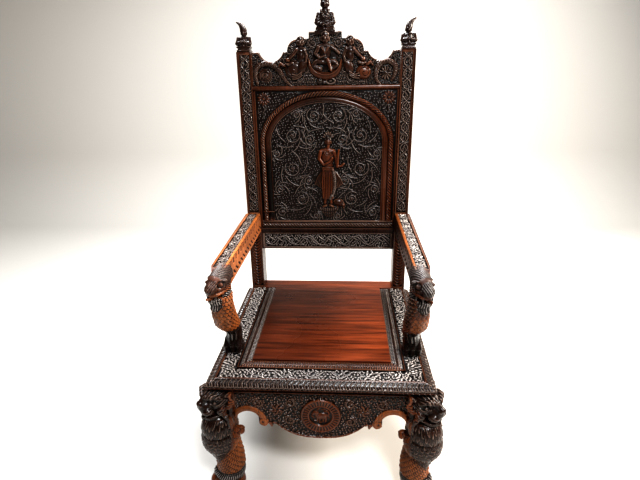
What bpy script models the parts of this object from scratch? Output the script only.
"""A carved hardwood throne: high raked back, lion-head arms, framed seat and lion-mask front legs.

Positions are in seat coordinates, in metres: x to the sitter's left as seen from the front, y back from the
front edge of the seat, z up from the top of the seat. An empty puts that frame at its height over the floor.
"""

import math

import bmesh
import bpy
import numpy as np
from mathutils import Matrix, Vector

# Whole chair
SEAT_TOP = 0.46
FRONT_EDGE = -0.348
GAP = 0.0003
RAKE = math.tan(math.radians(1.5))

# Seat
SEAT_HALF = 0.34
SEAT_THICK = 0.022
EDGE_RUN = 0.0276
EDGE_DROP = 0.0133
BAND_OUT = 0.3124
BAND_IN = 0.2568
PLANK_HALF = 0.2185
BORDER = SEAT_HALF - PLANK_HALF

# Back
STILE_OUT = 0.3199
STILE_IN = 0.2689
STILE_FRONT = 0.6284
STILE_BACK = 0.6954
STILE_TOP = 0.9238
BACK_HALF = STILE_IN - GAP
RAIL_LOW = 0.172
RAIL_TOP = 0.2542
PANEL_TOP = 0.7947
CREST_LOW = 0.795

# Arms
ARM_IN = 0.2685
ARM_OUT = 0.3255
ARM_TOP = 0.325
ARM_LOW = 0.2527
ARM_BEAM_FRONT = 0.085
ARM_FRONT_IN = 0.271
ARM_FRONT_OUT = 0.316
ARM_HEAD_X = 0.285
SUPPORT_X = 0.281

# Aprons and front legs
APRON_Y = 0.030
APRON_THICK = 0.022
APRON_HALF = 0.262
APRON_TOP = -SEAT_THICK - GAP
DROP_LOW = -0.2165
MEDAL_Z = -0.130
MEDAL_X = 0.002
MEDAL_R = 0.061
LEG_X = 0.297
LEG_Y = 0.055
LEG_BACK = 0.0985

# Finish of the wood: near black where it is carved, red brown on mouldings, warmer on the plank
CARVED = (0.030, 0.012, 0.007)
MOULDED = (0.075, 0.022, 0.010)
PLANK = (0.110, 0.032, 0.012)


def clear_scene():
    for obj in list(bpy.data.objects):
        bpy.data.objects.remove(obj, do_unlink=True)


def collection(name, helper=False):
    made = bpy.data.collections.new(name)
    bpy.context.scene.collection.children.link(made)
    made.hide_render = helper
    return made


def wood(name, colour, roughness):
    material = bpy.data.materials.new(name)
    material.use_nodes = True
    shader = material.node_tree.nodes["Principled BSDF"]
    shader.inputs["Base Color"].default_value = (*colour, 1)
    shader.inputs["Roughness"].default_value = roughness
    shader.inputs["Metallic"].default_value = 0
    return material


def add_object(name, mesh, colour, roughness=0.35):
    """A part of the throne, standing in the seat's frame."""
    obj = bpy.data.objects.new(name, mesh)
    THRONE.objects.link(obj)
    obj.parent = DATUM
    mesh.materials.clear()
    mesh.materials.append(wood(name + "_wood", colour, roughness))
    return obj


def mirrored(obj, name, home):
    """The same piece turned over to the other side, with the same modifiers."""
    twin = bpy.data.objects.new(name, obj.data)
    home.objects.link(twin)
    twin.parent = DATUM
    twin.scale.x = -1
    for old in obj.modifiers:
        new = twin.modifiers.new(old.name, old.type)
        for prop in old.bl_rna.properties:
            if not prop.is_readonly and prop.identifier not in ("name", "type"):
                setattr(new, prop.identifier, getattr(old, prop.identifier))
        if old.type == "BOOLEAN":
            new.object = hidden(mirrored(old.object, old.object.name + "_twin", HELPERS))
    return twin


def twin_of(obj, name):
    return mirrored(obj, name, THRONE)


def hidden(obj):
    obj.hide_render = True
    obj.display_type = "WIRE"
    return obj


# Relief carving


class Relief:
    """Heights of carving over a flat field, held on a raster: u along, v across."""

    def __init__(self, low, high, pitch=0.002):
        self.low = np.array(low, float)
        self.pitch = pitch
        size = np.ceil((np.array(high) - self.low) / pitch).astype(int) + 1
        self.height = np.zeros(size)

    def window(self, low, high):
        """The part of the raster between two corners, with the u and v of its samples."""
        first = np.floor((np.array(low) - self.low) / self.pitch).astype(int).clip(0)
        last = np.ceil((np.array(high) - self.low) / self.pitch).astype(int).clip(0) + 1
        part = self.height[first[0] : last[0], first[1] : last[1]]
        u = self.low[0] + self.pitch * (first[0] + np.arange(part.shape[0]))
        v = self.low[1] + self.pitch * (first[1] + np.arange(part.shape[1]))
        return part, u[:, None], v[None, :]

    def ridge(self, points, half_width, height, base=0.0):
        """A rounded stroke along points; width, height and base may change from point to point."""
        points = np.asarray(points, float)
        wide, tall, rise = (np.broadcast_to(value, len(points)) for value in (half_width, height, base))
        for i in range(len(points) - 1):
            start, span = points[i], points[i + 1] - points[i]
            reach = max(wide[i], wide[i + 1])
            low = np.minimum(start, points[i + 1]) - reach
            part, u, v = self.window(low, np.maximum(start, points[i + 1]) + reach)
            if not part.size:
                continue
            along = ((u - start[0]) * span[0] + (v - start[1]) * span[1]) / max(span @ span, 1e-12)
            along = along.clip(0, 1)
            away = np.hypot(u - start[0] - along * span[0], v - start[1] - along * span[1])
            width = wide[i] + along * (wide[i + 1] - wide[i])
            crown = tall[i] + along * (tall[i + 1] - tall[i])
            foot = rise[i] + along * (rise[i + 1] - rise[i])
            bump = crown * np.sqrt(np.maximum(0, 1 - (away / width) ** 2)) + foot
            np.maximum(part, np.where(away < width, bump, 0), out=part)

    def boss(self, centre, radii, height, turn=0.0, base=0.0):
        """A dome on an ellipse."""
        reach = max(radii)
        part, u, v = self.window(np.array(centre) - reach, np.array(centre) + reach)
        if not part.size:
            return
        du, dv = u - centre[0], v - centre[1]
        across = (du * math.cos(turn) + dv * math.sin(turn)) / radii[0]
        up = (dv * math.cos(turn) - du * math.sin(turn)) / radii[1]
        away = across**2 + up**2
        dome = height * np.sqrt(np.maximum(0, 1 - away)) + base
        np.maximum(part, np.where(away < 1, dome, 0), out=part)

    def flower(self, centre, radius, petals, height):
        for k in range(petals):
            angle = math.tau * k / petals
            middle = np.array(centre) + 0.6 * radius * np.array([math.cos(angle), math.sin(angle)])
            self.boss(middle, (0.42 * radius, 0.9 * radius * math.sin(math.pi / petals)), height, angle)
        self.boss(centre, (0.26 * radius, 0.26 * radius), 1.3 * height)

    def scroll(self, centre, radius, turns, start, hand, half_width, height):
        """A spiral stem that winds in to a flower."""
        steps = int(18 * turns) + 2
        s = np.linspace(0, 1, steps)
        angle = start + hand * math.tau * turns * s
        reach = radius * (1 - 0.72 * s)
        path = np.stack([centre[0] + reach * np.cos(angle), centre[1] + reach * np.sin(angle)], 1)
        self.ridge(path, half_width * (1 - 0.4 * s), height)
        self.flower(centre, 0.30 * radius, 5, height)

    def at(self, u, v):
        """Heights at any points, read between the samples."""
        a = ((u - self.low[0]) / self.pitch).clip(0, self.height.shape[0] - 1.001)
        b = ((v - self.low[1]) / self.pitch).clip(0, self.height.shape[1] - 1.001)
        i, j = a.astype(int), b.astype(int)
        a, b = a - i, b - j
        lower = self.height[i, j] * (1 - a) + self.height[i + 1, j] * a
        upper = self.height[i, j + 1] * (1 - a) + self.height[i + 1, j + 1] * a
        return lower * (1 - b) + upper * b


def arc(centre, radii, start, end, steps=12):
    """Points along part of an ellipse, with angles in degrees."""
    angle = np.radians(np.linspace(start, end, steps))
    return np.stack([centre[0] + radii[0] * np.cos(angle), centre[1] + radii[1] * np.sin(angle)], 1)


def smooth(points, steps=8):
    """Points on a smooth curve through the given ones."""
    points = np.asarray(points, float)
    padded = np.vstack([2 * points[0] - points[1], points, 2 * points[-1] - points[-2]])
    out = []
    for i in range(len(points) - 1):
        a, b, c, d = padded[i : i + 4]
        for t in np.arange(steps) / steps:
            out.append(
                0.5 * (2 * b + (c - a) * t + (2 * a - 5 * b + 4 * c - d) * t**2 + (3 * b - a - 3 * c + d) * t**3)
            )
    out.append(points[-1])
    return np.array(out)


def running_scroll(relief, start, length, half_width, wave, height):
    """A wavy stem along u, with a spiral in each bend."""
    count = round(length / wave)
    u = np.linspace(0, length, 16 * count)
    stem = np.stack([start[0] + u, start[1] + 0.55 * half_width * np.sin(math.tau * u / length * count)], 1)
    relief.ridge(stem, 0.16 * half_width, height)
    for k in range(2 * count):
        side = 1 if k % 2 else -1
        middle = (start[0] + (k + 0.5) * length / count / 2, start[1] + 0.28 * half_width * side)
        relief.scroll(middle, 0.52 * half_width, 1.1, -side * math.pi / 2, side, 0.15 * half_width, height)


def board(name, low, high, counts, thick, height_of, place, colour, keep=1.0):
    """A board carved on its face.

    low and high give its two long edges as functions of s from 0 to 1, place turns (u, v, h) into (x, y, z),
    and keep is the share of the faces that stays after the flat stretches are simplified.
    """
    along, across = counts
    s = np.linspace(0, 1, along)
    t = np.linspace(0, 1, across)[None, :]
    (low_u, low_v), (high_u, high_v) = low(s), high(s)
    u = low_u[:, None] * (1 - t) + high_u[:, None] * t
    v = low_v[:, None] * (1 - t) + high_v[:, None] * t
    front = np.stack(place(u, v, height_of(u, v)), -1).reshape(-1, 3)
    number = np.arange(along * across).reshape(along, across)
    rim = np.concatenate([number[:, 0], number[-1, 1:], number[-2::-1, -1], number[0, -2:0:-1]])
    flat_u, flat_v = u.reshape(-1)[rim], v.reshape(-1)[rim]
    back = np.stack(place(flat_u, flat_v, np.full(len(rim), -thick)), -1)
    faces = [
        (number[i, j], number[i + 1, j], number[i + 1, j + 1], number[i, j + 1])
        for i in range(along - 1)
        for j in range(across - 1)
    ]
    first = len(front)
    for k in range(len(rim)):
        after = (k + 1) % len(rim)
        faces.append((rim[k], first + k, first + after, rim[after]))
    faces.append(tuple(first + k for k in reversed(range(len(rim)))))
    mesh = bpy.data.meshes.new(name)
    mesh.from_pydata(np.vstack([front, back]).tolist(), [], [tuple(map(int, face)) for face in faces])
    face_outwards(mesh)
    obj = add_object(name, mesh, colour)
    simplify(obj, keep)
    return obj


def face_outwards(mesh):
    work = bmesh.new()
    work.from_mesh(mesh)
    bmesh.ops.recalc_face_normals(work, faces=work.faces)
    if work.calc_volume(signed=True) < 0:
        bmesh.ops.reverse_faces(work, faces=work.faces)
    work.to_mesh(mesh)
    work.free()


def simplify(obj, keep):
    if keep < 1:
        modifier = obj.modifiers.new("Simplify", "DECIMATE")
        modifier.ratio = keep


def upright(face):
    """Places a board in the raked back, its ground at distance face behind the seat's front edge."""

    def place(u, v, h):
        return u, face - h + RAKE * np.maximum(v, 0), v

    return place


def straight(face):
    """Places an upright board that isn't raked."""

    def place(u, v, h):
        return u, face - h, v

    return place


# Sculpted forms


def ball(work, centre, radii, turn=(0, 0, 0)):
    """A round lump; turn is in degrees."""
    spin = Matrix.Rotation(math.radians(turn[2]), 4, "Z") @ Matrix.Rotation(math.radians(turn[0]), 4, "X")
    spin = spin @ Matrix.Rotation(math.radians(turn[1]), 4, "Y")
    radii = radii if isinstance(radii, tuple) else (radii,) * 3
    matrix = Matrix.Translation(centre) @ spin @ Matrix.Diagonal((*radii, 1))
    bmesh.ops.create_uvsphere(work, u_segments=16, v_segments=10, radius=1, matrix=matrix)


def limb(work, points, radii):
    """A round member along points, with a radius at each."""
    for centre, radius in zip(points, radii):
        ball(work, centre, radius)
    for i in range(len(points) - 1):
        start, end = Vector(points[i]), Vector(points[i + 1])
        turn = (end - start).to_track_quat("Z", "Y").to_matrix().to_4x4()
        bmesh.ops.create_cone(
            work,
            cap_ends=True,
            segments=16,
            radius1=radii[i],
            radius2=radii[i + 1],
            depth=(end - start).length,
            matrix=Matrix.Translation((start + end) / 2) @ turn,
        )


def block(work, low, high):
    size = [b - a for a, b in zip(low, high)]
    middle = [(a + b) / 2 for a, b in zip(low, high)]
    bmesh.ops.create_cube(work, size=1, matrix=Matrix.Translation(middle) @ Matrix.Diagonal((*size, 1)))


def raked(work):
    for vert in work.verts:
        vert.co.y += RAKE * max(vert.co.z, 0)


def mesh_of(name, work):
    mesh = bpy.data.meshes.new(name)
    work.to_mesh(mesh)
    work.free()
    return mesh


def fuse(obj, voxel, keep, rounds=3):
    """Melts the overlapping lumps into one carved form."""
    remesh = obj.modifiers.new("Fuse", "REMESH")
    remesh.mode = "VOXEL"
    remesh.voxel_size = voxel
    soften = obj.modifiers.new("Soften", "SMOOTH")
    soften.factor = 0.5
    soften.iterations = rounds
    simplify(obj, keep)


def helper(name, work):
    obj = bpy.data.objects.new(name, mesh_of(name, work))
    HELPERS.objects.link(obj)
    obj.parent = DATUM
    return hidden(obj)


def box_helper(name, low, high):
    work = bmesh.new()
    block(work, low, high)
    return helper(name, work)


def combine(obj, other, operation):
    modifier = obj.modifiers.new(operation.title() + "_" + other.name, "BOOLEAN")
    modifier.operation = operation
    modifier.object = other


# Seat


def span(low, high):
    """An edge of a board, straight from one (u, v) to another."""

    def edge(s):
        return low[0] + s * (high[0] - low[0]), low[1] + s * (high[1] - low[1])

    return edge


def thumb_edge(out):
    """Depth of the moulded edge at a distance in from the outside."""
    inward = np.clip((EDGE_RUN - out) / EDGE_RUN, 0, 1)
    return -EDGE_DROP * (1 - np.sqrt(1 - inward**2))


def border_heights(length, fluted):
    """Carving of a border board: u along its outer edge from the middle, v in from that edge."""
    band_low, band_high = SEAT_HALF - BAND_OUT, SEAT_HALF - BAND_IN
    middle = 0.5 * (band_low + band_high)
    carved = Relief((-length, 0), (length, BORDER))
    running_scroll(carved, (-length, middle), 2 * length, 0.5 * (band_high - band_low) - 0.003, 0.12, 0.003)
    bead_row = 0.5 * (band_high + BORDER)

    def heights(u, v):
        height = thumb_edge(v)
        inside = (v > band_low + 0.002) & (v < band_high - 0.002)
        height = height + np.where(inside, carved.at(u, v) - 0.003, 0)
        height = height - 0.002 * (np.abs(v - bead_row) < 0.009)
        if fluted:
            flute = np.cos(math.tau * (u + 0.6 * v) / 0.021)
            height = height + 0.0018 * flute * (v < band_low - 0.003) * (v > 0.004)
        return height

    return heights


def seat():
    outline = [
        (PLANK_HALF - GAP, BORDER + GAP),
        (PLANK_HALF - GAP, STILE_FRONT),
        (BACK_HALF, STILE_FRONT),
        (BACK_HALF, STILE_BACK),
    ]
    outline += [(-x, y) for x, y in reversed(outline)]
    curve = bpy.data.curves.new("seat_board", "CURVE")
    curve.dimensions = "2D"
    curve.fill_mode = "BOTH"
    curve.extrude = SEAT_THICK / 2
    line = curve.splines.new("POLY")
    line.points.add(len(outline) - 1)
    for point, (x, y) in zip(line.points, outline):
        point.co = (x, y, 0, 1)
    line.use_cyclic_u = True
    plank = add_object("seat_board", curve, PLANK, 0.22)
    plank.location.z = -SEAT_THICK / 2

    def flat(u, v, h):
        return u, v, h

    board(
        "seat_border_front",
        span((-SEAT_HALF, 0), (SEAT_HALF, 0)),
        span((-PLANK_HALF, BORDER), (PLANK_HALF, BORDER)),
        (171, 31),
        SEAT_THICK,
        border_heights(SEAT_HALF, True),
        flat,
        CARVED,
        0.048,
    )

    def to_side(u, v, h):
        return SEAT_HALF - v, u, h

    depth = STILE_FRONT - GAP
    side_heights = border_heights(depth, False)
    side = board(
        "seat_border_right",
        span((GAP * 1.5, 0), (depth, 0)),
        span((BORDER + GAP * 1.5, BORDER), (depth, BORDER)),
        (157, 31),
        SEAT_THICK,
        side_heights,
        to_side,
        CARVED,
        0.036,
    )
    twin_of(side, "seat_border_left")


# Back


def stile_heights():
    strip = Relief((0, STILE_IN), (STILE_TOP, STILE_OUT))
    middle = 0.5 * (0.271 + 0.312)
    running_scroll(strip, (0.35, middle), STILE_TOP - 0.36, 0.0185, 0.095, 0.003)
    for k in range(17):
        v = 0.02 + k * 0.0185
        for side in (-1, 1):
            tip = (v + 0.012, middle + side * 0.015)
            strip.ridge([(v, middle), tip], 0.004, 0.0025)

    def heights(u, v):
        inside = (u > 0.274) & (u < 0.3095) & (v > 0.01) & (v < STILE_TOP - 0.008)
        return np.where(inside, strip.at(v, u) - 0.003, 0)

    return heights


def stiles():
    top, low = STILE_TOP, -SEAT_TOP
    right = board(
        "stile_right",
        span((STILE_IN, low), (STILE_OUT, low)),
        span((STILE_IN, top), (STILE_OUT, top)),
        (19, 461),
        STILE_BACK - STILE_FRONT,
        stile_heights(),
        upright(STILE_FRONT),
        CARVED,
        0.018,
    )
    twin_of(right, "stile_left")


def finials():
    """A half figure with folded arms and a tall cap that curls outwards."""
    x, y = 0.5 * (STILE_IN + STILE_OUT), 0.5 * (STILE_FRONT + STILE_BACK) - 0.004
    foot = STILE_TOP + GAP
    work = bmesh.new()
    block(work, (x - 0.0245, y - 0.0245, foot - 0.004), (x + 0.0245, y + 0.0245, foot + 0.007))
    block(work, (x - 0.021, y - 0.021, foot), (x + 0.021, y + 0.021, foot + 0.013))
    block(work, (x - 0.025, y - 0.022, foot + 0.013), (x + 0.025, y + 0.022, foot + 0.020))
    ball(work, (x, y, foot + 0.034), (0.022, 0.018, 0.022))
    for side in (-1, 1):
        shoulder = (x + side * 0.019, y - 0.002, foot + 0.044)
        elbow = (x + side * 0.023, y - 0.012, foot + 0.027)
        hand = (x - side * 0.006, y - 0.022, foot + 0.032)
        limb(work, [shoulder, elbow, hand], [0.0085, 0.0075, 0.006])
    head = (x - 0.002, y - 0.004, foot + 0.063)
    ball(work, head, (0.0115, 0.0125, 0.014))
    ball(work, (head[0], head[1] - 0.011, head[2] - 0.002), 0.004)
    cap = [(x, y, foot + 0.070), (x + 0.004, y, foot + 0.081), (x + 0.012, y, foot + 0.092)]
    cap.append((x + 0.023, y, foot + 0.099))
    limb(work, cap, [0.0125, 0.0105, 0.0075, 0.0035])
    raked(work)
    right = add_object("finial_right", mesh_of("finial", work), CARVED)
    fuse(right, 0.0022, 0.021, 2)
    lift = RAKE * foot
    combine(right, box_helper("finial_foot_cut", (0.2, 0.55, foot - 0.05), (0.4, 0.8 + lift, foot)), "DIFFERENCE")
    twin_of(right, "finial_left")


def crest_top(x):
    """Outline of the crest: platform, head, shoulder, step, scoop and end."""
    a = np.abs(x)
    scoop = 0.936 - np.sqrt(np.maximum(0.0472**2 - (a - 0.197) ** 2, 0))
    shoulder = 0.925 + np.sqrt(np.maximum(0.037**2 - (np.maximum(a, 0.1) - 0.100) ** 2, 0))
    head = 0.957 + np.sqrt(np.maximum(0.0155**2 - (a - 0.088) ** 2, 0))
    top = np.where(a > 0.1515, scoop, 0.9225)
    top = np.where(a > 0.242, 0.9225, top)
    top = np.where(a < 0.137, np.maximum(shoulder, 0.9225), top)
    top = np.where(np.abs(a - 0.088) < 0.0155, np.maximum(top, head), top)
    top = np.where(a < 0.0725, 0.965, top)
    return np.where(a < 0.0585, 0.987, top)


def crest_relief():
    """The figure group: a throned figure between two figures whose serpent tails coil out to the ends."""
    carved = Relief((-BACK_HALF, CREST_LOW), (BACK_HALF, 0.99))
    carved.ridge([(-BACK_HALF, CREST_LOW), (BACK_HALF, CREST_LOW)], 0.010, 0.004, 0.003)
    carved.boss((0, 0.958), (0.0125, 0.016), 0.010, 0, 0.008)
    carved.boss((0, 0.978), (0.014, 0.010), 0.008, 0, 0.006)
    carved.boss((0, 0.915), (0.021, 0.028), 0.010, 0, 0.005)
    carved.ridge(arc((0, 0.905), (0.058, 0.056), 195, 345, 16), 0.0065, 0.007, 0.004)
    carved.ridge([(-0.030, 0.872), (0.0, 0.868), (0.030, 0.872)], 0.012, 0.008, 0.004)
    carved.boss((0, 0.822), (0.020, 0.011), 0.008)
    for side in (-1, 1):
        carved.ridge([(side * 0.016, 0.935), (side * 0.040, 0.912), (side * 0.018, 0.895)], 0.006, 0.007, 0.008)
        carved.ridge([(side * 0.008, 0.885), (side * 0.022, 0.865), (side * 0.006, 0.845)], 0.006, 0.007, 0.006)
        carved.boss((side * 0.088, 0.957), (0.0145, 0.016), 0.010, 0, 0.008)
        carved.boss((side * 0.092, 0.905), (0.022, 0.034), 0.010, side * 0.3, 0.004)
        carved.ridge([(side * 0.078, 0.930), (side * 0.060, 0.900), (side * 0.074, 0.880)], 0.006, 0.006, 0.006)
        carved.ridge([(side * 0.100, 0.932), (side * 0.125, 0.905), (side * 0.132, 0.893)], 0.007, 0.007, 0.006)
        carved.boss((side * 0.138, 0.845), (0.030, 0.026), 0.013, 0, 0.004)
        tip = 0.135 if side < 0 else 0.188
        tail = smooth(
            [(0.145, 0.832), (0.190, 0.818), (0.235, 0.830), (0.248, 0.858), (0.224, 0.884), (0.190, 0.874)]
            + [(0.5 * (0.186 + tip), 0.845), (tip, 0.808)]
        )
        tail[:, 0] *= side
        carved.ridge(tail, np.linspace(0.021, 0.006, len(tail)), np.linspace(0.011, 0.006, len(tail)), 0.004)
        carved.boss((side * 0.212, 0.850), (0.018, 0.016), 0.008)
        carved.flower((side * 0.255, 0.905), 0.010, 5, 0.004)
    return carved


def bust():
    """The half figure on the platform, with folded arms and a tall pointed crown."""
    work = bmesh.new()
    y = 0.648
    block(work, (-0.036, y - 0.02, 0.975), (0.036, y + 0.02, 0.997))
    ball(work, (0, y, 1.012), (0.031, 0.019, 0.026))
    ball(work, (0, y - 0.001, 1.040), (0.025, 0.017, 0.020))
    for side in (-1, 1):
        shoulder = (side * 0.024, y - 0.002, 1.046)
        elbow = (side * 0.031, y - 0.012, 1.020)
        hand = (-side * 0.004, y - 0.024, 1.024)
        limb(work, [shoulder, elbow, hand], [0.010, 0.009, 0.007])
    limb(work, [(0, y, 1.05), (0, y - 0.002, 1.068)], [0.009, 0.009])
    ball(work, (0, y - 0.003, 1.074), (0.0135, 0.0145, 0.0165))
    ball(work, (0, y - 0.015, 1.071), 0.004)
    limb(work, [(0, y, 1.084), (0, y, 1.096), (0, y, 1.112)], [0.0135, 0.010, 0.003])
    raked(work)
    made = helper("bust", work)
    fuse(made, 0.0025, 0.045, 2)
    return made


def crest():
    carved = crest_relief()
    steps = [0.0585, 0.0725, 0.137, 0.1515, 0.242]
    edges = np.array([sign * (step + shift) for step in steps for sign in (-1, 1) for shift in (-2e-4, 2e-4)])
    columns = np.unique(np.concatenate([np.linspace(-BACK_HALF, BACK_HALF, 135), edges]))

    def low(s):
        return columns, np.full(len(columns), CREST_LOW)

    def high(s):
        return columns, crest_top(columns)

    def heights(u, v):
        rim = np.minimum(crest_top(u) - v, BACK_HALF - np.abs(u))
        return carved.at(u, v) * np.clip(rim / 0.004, 0, 1)

    rail = board(
        "crest_rail", low, high, (len(columns), 50), 0.030, heights, upright(0.640), CARVED, 0.054
    )
    combine(rail, bust(), "UNION")


def panel_relief():
    """The arched panel: rope-moulded arch, spiral field, corner flowers and the standing figure."""
    carved = Relief((-BACK_HALF, RAIL_TOP), (BACK_HALF, PANEL_TOP))
    spring, crown_out, crown_in = 0.600, 0.783, 0.752
    middle = 0.233
    legs = np.array([[-middle, 0.294], [-middle, spring]])
    over = arc((0, spring), (middle, 0.5 * (crown_out + crown_in) - spring), 180, 0, 30)
    path = np.vstack([legs, over, legs[::-1] * (-1, 1)])
    carved.ridge(path, 0.021, 0.009)
    carved.ridge([(-0.262, 0.277), (0.262, 0.277)], 0.014, 0.006)
    for side in (-1, 1):
        carved.flower((side * 0.232, 0.768), 0.022, 8, 0.005)
        carved.scroll((side * 0.185, 0.770), 0.016, 1.0, 0, side, 0.0035, 0.004)
        places = [(0.047, 0.700), (0.128, 0.640), (0.130, 0.505), (0.098, 0.390), (0.175, 0.330)]
        for k, (x, z) in enumerate(places):
            size = 0.022 if k == 4 else 0.036
            carved.scroll((side * x, z), size, 1.2, math.pi / 2 + k, side * (1 if k % 2 else -1), 0.0045, 0.004)
        stem = smooth([(0.180, 0.300), (0.165, 0.420), (0.080, 0.450), (0.165, 0.570), (0.075, 0.640), (0.09, 0.735)])
        carved.ridge(stem * (side, 1), 0.004, 0.0035)
    standing_figure(carved)
    return carved


def standing_figure(carved):
    """A crowned figure with bent arms, a flared skirt and sashes, on a lotus foot."""
    carved.boss((0, 0.621), (0.014, 0.018), 0.007, 0, 0.006)
    carved.boss((0, 0.643), (0.010, 0.014), 0.005, 0, 0.005)
    carved.ridge([(-0.024, 0.572), (0.0, 0.580), (0.024, 0.572)], 0.010, 0.005, 0.006)
    carved.boss((0, 0.548), (0.022, 0.036), 0.008, 0, 0.005)
    carved.boss((0, 0.505), (0.024, 0.018), 0.007, 0, 0.005)
    carved.ridge([(-0.026, 0.570), (-0.020, 0.535), (0.008, 0.552)], 0.006, 0.005, 0.010)
    carved.ridge([(0.026, 0.570), (0.042, 0.535), (0.064, 0.540)], 0.006, 0.005, 0.006)
    carved.ridge([(0.026, 0.560), (0.040, 0.575)], 0.005, 0.005, 0.006)
    for k in range(-2, 3):
        carved.ridge([(k * 0.005, 0.500), (k * 0.009, 0.400)], 0.006, 0.006, 0.005)
    for side in (-1, 1):
        carved.ridge([(side * 0.018, 0.505), (side * 0.036, 0.475), (side * 0.050, 0.448)], 0.007, 0.005, 0.003)
        carved.ridge([(side * 0.008, 0.400), (side * 0.014, 0.368)], 0.007, 0.006, 0.005)
        carved.boss((side * 0.016, 0.362), (0.012, 0.007), 0.006, 0, 0.005)
    carved.boss((0.050, 0.372), (0.020, 0.013), 0.006, 0, 0.003)
    carved.boss((0, 0.335), (0.030, 0.018), 0.009, 0, 0.003)
    carved.boss((0, 0.315), (0.020, 0.012), 0.007)


def panel():
    carved = panel_relief()
    board(
        "back_panel",
        span((-BACK_HALF, RAIL_TOP + GAP), (BACK_HALF, RAIL_TOP + GAP)),
        span((-BACK_HALF, PANEL_TOP), (BACK_HALF, PANEL_TOP)),
        (161, 161),
        0.018,
        lambda u, v: carved.at(u, v) * np.clip((BACK_HALF - np.abs(u)) / 0.003, 0, 1),
        upright(0.644),
        CARVED,
        0.028,
    )


def lower_rail():
    carved = Relief((-BACK_HALF, RAIL_LOW), (BACK_HALF, RAIL_TOP))
    running_scroll(carved, (-0.24, 0.2085), 0.48, 0.026, 0.12, 0.003)

    def heights(u, v):
        inside = (v > 0.181) & (v < 0.236) & (np.abs(u) < 0.255)
        return np.where(inside, carved.at(u, v) - 0.003, 0)

    board(
        "lower_back_rail",
        span((-BACK_HALF, RAIL_LOW), (BACK_HALF, RAIL_LOW)),
        span((-BACK_HALF, RAIL_TOP), (BACK_HALF, RAIL_TOP)),
        (135, 22),
        0.030,
        heights,
        upright(0.638),
        CARVED,
        0.052,
    )


# Arms


def arm_head():
    """The lion head at the front end of the arm, above the open mouth."""
    x = ARM_HEAD_X
    work = bmesh.new()
    limb(work, [(x + 0.003, 0.130, 0.292), (x, 0.082, 0.295)], [0.029, 0.030])
    ball(work, (x, 0.075, 0.293), (0.029, 0.042, 0.036))
    ball(work, (x, 0.046, 0.279), (0.023, 0.022, 0.021))
    ball(work, (x, 0.028, 0.284), 0.009)
    for side in (-1, 1):
        limb(work, [(x + side * 0.007, 0.044, 0.303), (x + side * 0.021, 0.062, 0.303)], [0.008, 0.008])
        ball(work, (x + side * 0.014, 0.048, 0.266), (0.012, 0.017, 0.013))
        ball(work, (x + side * 0.027, 0.088, 0.298), (0.007, 0.013, 0.017))
        limb(work, [(x + side * 0.010, 0.034, 0.262), (x + side * 0.010, 0.032, 0.252)], [0.005, 0.003])
    made = helper("arm_head", work)
    fuse(made, 0.003, 0.030)
    under = box_helper("arm_head_foot_cut", (0.2, -0.1, 0.1), (0.4, 0.3, ARM_LOW))
    combine(made, under, "DIFFERENCE")
    return made


def arms():
    length = STILE_FRONT - ARM_BEAM_FRONT
    front_middle = 0.5 * (ARM_FRONT_IN + ARM_FRONT_OUT)
    back_middle = 0.5 * (ARM_IN + ARM_OUT)
    strip = Relief((0, -0.03), (STILE_FRONT + 0.02, 0.03))
    running_scroll(strip, (0.13, 0), STILE_FRONT - 0.14, 0.016, 0.09, 0.003)

    def heights(u, v):
        across = v - front_middle - (back_middle - front_middle) * (u - ARM_BEAM_FRONT) / length
        inside = (np.abs(across) < 0.0165) & (u > 0.12) & (u < STILE_FRONT - 0.012)
        return np.where(inside, strip.at(u, across) - 0.003, 0)

    def place(u, v, h):
        stretch = (u - ARM_BEAM_FRONT) / length
        back = RAKE * (ARM_TOP + h) * stretch
        return v, u + back, ARM_TOP + h

    right = board(
        "arm_right",
        span((ARM_BEAM_FRONT, ARM_FRONT_IN), (STILE_FRONT - GAP, ARM_IN)),
        span((ARM_BEAM_FRONT, ARM_FRONT_OUT), (STILE_FRONT - GAP, ARM_OUT)),
        (110, 17),
        ARM_TOP - ARM_LOW,
        heights,
        place,
        CARVED,
        0.045,
    )
    head = arm_head()
    combine(right, head, "UNION")
    twin_of(right, "arm_left")


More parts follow.
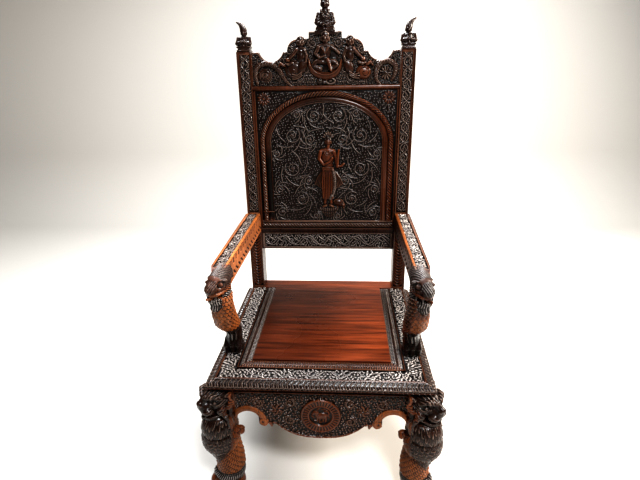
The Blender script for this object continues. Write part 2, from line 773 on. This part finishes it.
def arm_supports():
    """A scaled body that swells under the jaw, narrows to an ankle and stands on a clawed foot."""
    x = SUPPORT_X
    work = bmesh.new()
    limb(
        work,
        [(x + 0.004, 0.092, 0.262), (x - 0.002, 0.086, 0.225), (x - 0.001, 0.092, 0.190), (x, 0.106, 0.155)]
        + [(x - 0.003, 0.130, 0.125), (x - 0.005, 0.152, 0.100), (x + 0.002, 0.168, 0.065), (x + 0.006, 0.178, 0.030)],
        [0.030, 0.031, 0.034, 0.035, 0.031, 0.027, 0.028, 0.029],
    )
    ball(work, (x + 0.008, 0.050, 0.228), (0.020, 0.021, 0.012), (25, 0, 0))
    ball(work, (x + 0.006, 0.045, 0.243), (0.011, 0.014, 0.006), (-15, 0, 0))
    for side in (-1, 1):
        ball(work, (x + 0.006 + side * 0.024, 0.060, 0.238), (0.007, 0.009, 0.009))
    for k in range(4):
        aside = (k - 1.5) * 0.016
        toe = [(x + 0.006 + aside, 0.172, 0.030), (x + 0.007 + aside, 0.157, 0.018)]
        toe.append((x + 0.007 + aside, 0.153, 0.006))
        limb(work, toe, [0.012, 0.010, 0.005])
    ball(work, (x + 0.006, 0.180, 0.014), (0.032, 0.032, 0.020))
    right = add_object("arm_support_right", mesh_of("arm_support", work), CARVED)
    fuse(right, 0.003, 0.019)
    cap = box_helper("support_top_cut", (0.2, -0.1, ARM_LOW - GAP), (0.4, 0.3, 0.4))
    sole = box_helper("support_foot_cut", (0.2, -0.1, -0.1), (0.4, 0.3, GAP))
    combine(right, cap, "DIFFERENCE")
    combine(right, sole, "DIFFERENCE")
    twin_of(right, "arm_support_left")


# Aprons


def drop_edge(x):
    """Lower edge of the front apron: round drop, spur, volute and arch up to the leg."""
    a = np.abs(x)
    drop = DROP_LOW + 0.0495 * (a / 0.134) ** 2.67
    volute = -0.160 - np.sqrt(np.maximum(0.0145**2 - (a - 0.1745) ** 2, 0))
    arch = -0.165 + 0.047 * np.sqrt(np.maximum(1 - ((a - 0.222) / 0.042) ** 2, 0))
    edge = np.where(a > 0.138, -0.167, drop)
    edge = np.where(np.abs(a - 0.150) < 0.005, -0.178, edge)
    edge = np.where((a > 0.160) & (a < 0.1885), volute, edge)
    return np.where(a >= 0.1885, arch, edge)


def apron_relief():
    carved = Relief((-APRON_HALF, DROP_LOW), (APRON_HALF, APRON_TOP))
    carved.ridge([(-APRON_HALF, -0.057), (APRON_HALF, -0.057)], 0.003, 0.002, 0.002)
    for side in (-1, 1):
        bow = arc((side * 0.222, -0.165), (0.049, 0.054), 90 - side * 62, 90 + side * 88, 18)
        carved.ridge(bow, 0.007, 0.004, 0.002)
        carved.scroll((side * 0.1745, -0.160), 0.012, 1.0, math.pi / 2, side, 0.004, 0.004)
        carved.flower((side * 0.131, -0.112), 0.015, 6, 0.004)
        for x, z in ((0.085, -0.085), (0.180, -0.088), (0.228, -0.085), (0.090, -0.165)):
            carved.scroll((side * x, z), 0.017, 1.1, math.pi / 2, side, 0.003, 0.003)
    carved.boss((MEDAL_X, MEDAL_Z), (MEDAL_R, MEDAL_R), 0.002, 0, 0.004)
    carved.ridge(arc((MEDAL_X, MEDAL_Z), (MEDAL_R - 0.003,) * 2, 0, 360, 40), 0.003, 0.003, 0.003)
    carved.ridge(arc((MEDAL_X, MEDAL_Z), (0.039, 0.039), 0, 360, 32), 0.003, 0.002, 0.005)
    carved.flower((MEDAL_X, MEDAL_Z), 0.032, 8, 0.008)
    return carved


def aprons():
    carved = apron_relief()
    steps = [0.138, 0.145, 0.155, 0.160, 0.1885]
    edges = np.array([sign * (step + shift) for step in steps for sign in (-1, 1) for shift in (-2e-4, 2e-4)])
    columns = np.unique(np.concatenate([np.linspace(-APRON_HALF, APRON_HALF, 141), edges]))

    def low(s):
        return columns, drop_edge(columns)

    def high(s):
        return columns, np.full(len(columns), APRON_TOP)

    def heights(u, v):
        under_seat = np.clip((-0.045 - v) / 0.010, 0, 1)
        side = np.clip((APRON_HALF - np.abs(u)) / 0.003, 0, 1)
        cove = 0.014 * np.clip((v + 0.050) / 0.027, 0, 1) ** 1.6
        return carved.at(u, v) * under_seat * side + cove

    board(
        "front_apron", low, high, (len(columns), 46), APRON_THICK, heights, straight(APRON_Y), CARVED, 0.043
    )

    side_low, side_high = LEG_BACK + GAP, STILE_FRONT - GAP

    def side_edge(y):
        far = np.abs((y - side_low) / (side_high - side_low) - 0.5) * 2
        return -0.098 - 0.020 * np.clip((far - 0.72) / 0.16, 0, 1)

    def side_low_edge(s):
        y = side_low + s * (side_high - side_low)
        return y, side_edge(y)

    right = board(
        "side_apron_right",
        side_low_edge,
        span((side_low, APRON_TOP), (side_high, APRON_TOP)),
        (31, 5),
        0.020,
        lambda u, v: 0.003 * (np.abs(v + 0.062) < 0.022) * (np.abs(u - 0.5 * (side_low + side_high)) < 0.235),
        lambda u, v, h: (0.314 + h, u, v),
        MOULDED,
    )
    twin_of(right, "side_apron_left")
    board(
        "back_apron",
        span((-BACK_HALF, -0.100), (BACK_HALF, -0.100)),
        span((-BACK_HALF, APRON_TOP), (BACK_HALF, APRON_TOP)),
        (2, 2),
        0.022,
        lambda u, v: 0 * u,
        straight(0.650),
        MOULDED,
    )


# Front legs


def on_leg(out, aside, z):
    """A point by its distance from the leg's axis towards the front corner, and to one side of that line."""
    turn = math.sqrt(0.5)
    return (LEG_X + turn * (out + aside), LEG_Y + turn * (aside - out), z)


def front_legs():
    """A lion mask at the knee, a pointed beard, a scaled shank and a clawed foot."""
    work = bmesh.new()
    block(work, (APRON_HALF - 0.004, 0.030, -0.130), (0.330, LEG_BACK + 0.01, 0.0))
    ball(work, on_leg(0.028, 0, -0.078), (0.048, 0.048, 0.046))
    ball(work, on_leg(0.060, 0, -0.084), (0.029, 0.029, 0.024))
    ball(work, on_leg(0.083, 0, -0.074), (0.011, 0.011, 0.009))
    ball(work, on_leg(0.060, 0, -0.134), (0.024, 0.024, 0.014))
    for side in (-1, 1):
        ball(work, on_leg(0.066, side * 0.019, -0.102), (0.019, 0.019, 0.017))
        limb(work, [on_leg(0.074, side * 0.008, -0.058), on_leg(0.048, side * 0.036, -0.056)], [0.009, 0.010])
        ball(work, on_leg(0.014, side * 0.050, -0.066), (0.012, 0.012, 0.020))
    ball(work, on_leg(0.032, 0, -0.185), (0.052, 0.052, 0.058))
    ball(work, on_leg(0.028, 0, -0.225), (0.057, 0.057, 0.062))
    limb(work, [on_leg(0.040, 0, -0.25), on_leg(0.034, 0, -0.315)], [0.032, 0.010])
    shank = [on_leg(0.0, 0, -0.12), on_leg(0.004, 0, -0.235), on_leg(0.004, 0, -0.32), on_leg(0.004, 0, -0.38)]
    limb(work, shank, [0.036, 0.031, 0.043, 0.045])
    ball(work, on_leg(0.010, 0, -0.380), (0.051, 0.051, 0.017))
    ball(work, on_leg(0.014, 0, -0.430), (0.051, 0.051, 0.041))
    for k in range(4):
        aside = (k - 1.5) * 0.022
        toe = [on_leg(0.028, aside, -0.402), on_leg(0.050, aside, -0.420), on_leg(0.059, aside, -0.452)]
        limb(work, toe, [0.018, 0.016, 0.012])
    bow = arc((0.262, -0.180), (0.014, 0.030), 70, -100, 8)
    limb(work, [(x, 0.040, z) for x, z in bow], [0.007] * 8)
    ball(work, (0.262, 0.040, -0.206), (0.012, 0.010, 0.012))
    right = add_object("front_leg_right", mesh_of("front_leg", work), CARVED)
    fuse(right, 0.0042, 0.0235)
    cuts = {
        "leg_top_cut": ((0.1, -0.2, APRON_TOP), (0.5, 0.3, 0.1)),
        "leg_foot_cut": ((0.1, -0.2, -0.6), (0.5, 0.3, -SEAT_TOP)),
        "leg_apron_cut": ((0.1, 0.0, -0.1515), (APRON_HALF + GAP, 0.2, 0.0)),
        "leg_back_cut": ((0.1, LEG_BACK, -0.20), (0.5, 0.3, 0.1)),
    }
    for name, (low, high) in cuts.items():
        combine(right, box_helper(name, low, high), "DIFFERENCE")
    twin_of(right, "front_leg_left")


clear_scene()
THRONE = collection("throne")
HELPERS = collection("helpers", helper=True)
DATUM = bpy.data.objects.new("seat_datum", None)
THRONE.objects.link(DATUM)
DATUM.location = (0, FRONT_EDGE, SEAT_TOP)
seat()
stiles()
finials()
crest()
panel()
lower_rail()
arms()
arm_supports()
aprons()
front_legs()
